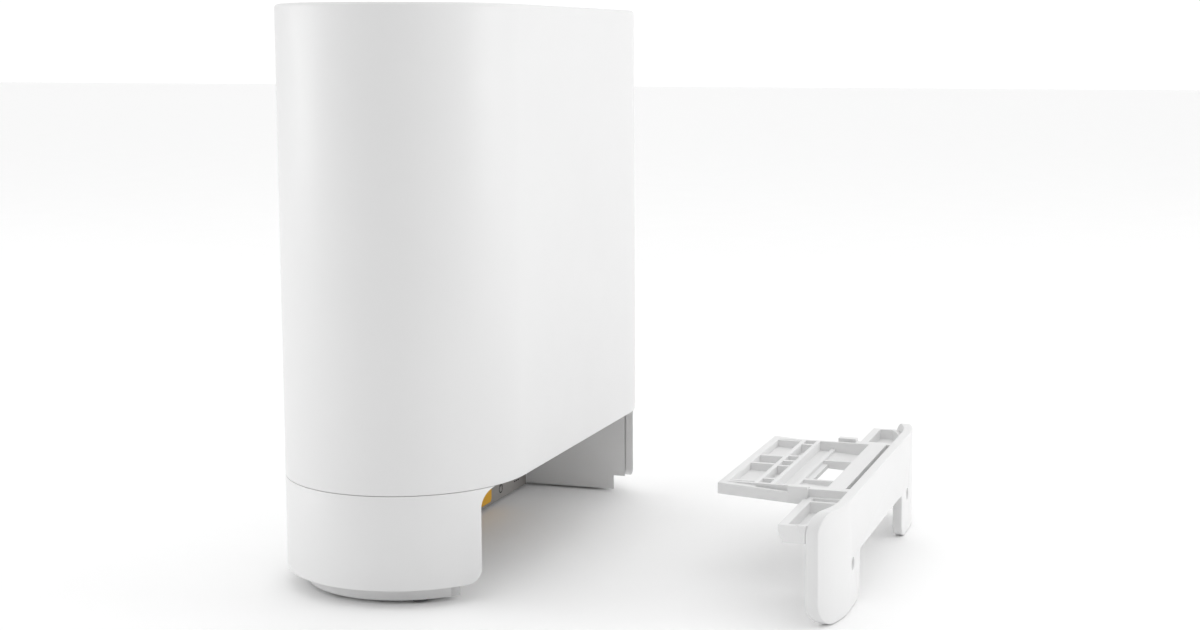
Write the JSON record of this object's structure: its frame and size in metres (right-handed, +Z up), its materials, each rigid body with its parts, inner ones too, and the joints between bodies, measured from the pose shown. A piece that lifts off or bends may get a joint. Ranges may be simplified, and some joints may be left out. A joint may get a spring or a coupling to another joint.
{
  "type": "mesh wifi node",
  "caption": "Tall mesh wifi node with round ends on an inset foot, network ports in a bay at its back, and a slide-in cable cover with a ribbed tray and screw holes.",
  "frame": {"origin": "on the surface the node stands on, under the middle of the front rubber foot", "axes": "+Z up, +X along the node's length, +Y backwards, the way the port bay faces and the cable cover pulls out"},
  "size_m": [0.16, 0.163, 0.162],
  "materials": {
    "white_abs": "fine satin moulded ABS",
    "clear_lens": "clear polished polycarbonate",
    "rubber": "matt",
    "plated_steel": "bright nickel or zinc plate",
    "black_plastic": "satin",
    "grey_label": "printed satin film",
    "yellow_label": "printed satin film",
    "circuit_board": "solder mask on glass-filled epoxy",
    "aluminium": "extruded, mill finish",
    "thermal_pad": "matt filled silicone",
    "copper_plate": "stamped sheet"
  },
  "bodies": {
    "unit": {"upper_sleeve": "white_abs", "top_cover": "white_abs", "light_pipe": "clear_lens", "status_led": "clear_lens", "lower_base": "white_abs", "port_housing": "white_abs", "base_pan": "white_abs", "rubber_foot_front": "rubber", "rubber_foot_left": "rubber", "rubber_foot_right": "rubber", "base_screw_1": "plated_steel", "base_screw_2": "plated_steel", "base_screw_3": "plated_steel", "base_screw_4": "plated_steel", "wan_jack": "black_plastic", "lan_jack_1": "black_plastic", "lan_jack_2": "black_plastic", "lan_jack_3": "black_plastic", "usb_shell": "plated_steel", "usb_tongue": "black_plastic", "dc_jack": "black_plastic", "power_switch": "black_plastic", "wps_switch": "plated_steel", "reset_switch": "plated_steel", "label_strip": "grey_label", "lan_label": "yellow_label", "main_board": "circuit_board", "chassis": "white_abs", "board_screw_1": "plated_steel", "board_screw_2": "plated_steel", "board_screw_3": "plated_steel", "board_screw_4": "plated_steel", "thermal_pad": "thermal_pad", "heat_sink": "aluminium", "radio_shield_lower": "plated_steel", "radio_shield_upper": "plated_steel", "antenna_1": "copper_plate", "antenna_2": "copper_plate", "antenna_3": "copper_plate", "antenna_4": "copper_plate"},
    "cover": {"cover_plate": "white_abs", "cover_tray": "white_abs"},
    "power_button": {"power_button": "black_plastic"},
    "wps_button": {"wps_button": "black_plastic"},
    "reset_button": {"reset_button": "black_plastic"}
  },
  "joints": [
    {"name": "cover_slide", "type": "slide", "parent": "unit", "child": "cover", "axis": [0, -1, 0], "range_m": [0, 0.093]},
    {"name": "power_press", "type": "slide", "parent": "unit", "child": "power_button", "axis": [0, -1, 0], "range_m": [0, 0.0016], "stiffness_N_per_m": 800},
    {"name": "wps_press", "type": "slide", "parent": "unit", "child": "wps_button", "axis": [0, -1, 0], "range_m": [0, 0.0005], "stiffness_N_per_m": 1500},
    {"name": "reset_press", "type": "slide", "parent": "unit", "child": "reset_button", "axis": [0, -1, 0], "range_m": [0, 0.0004], "stiffness_N_per_m": 1500}
  ]
}
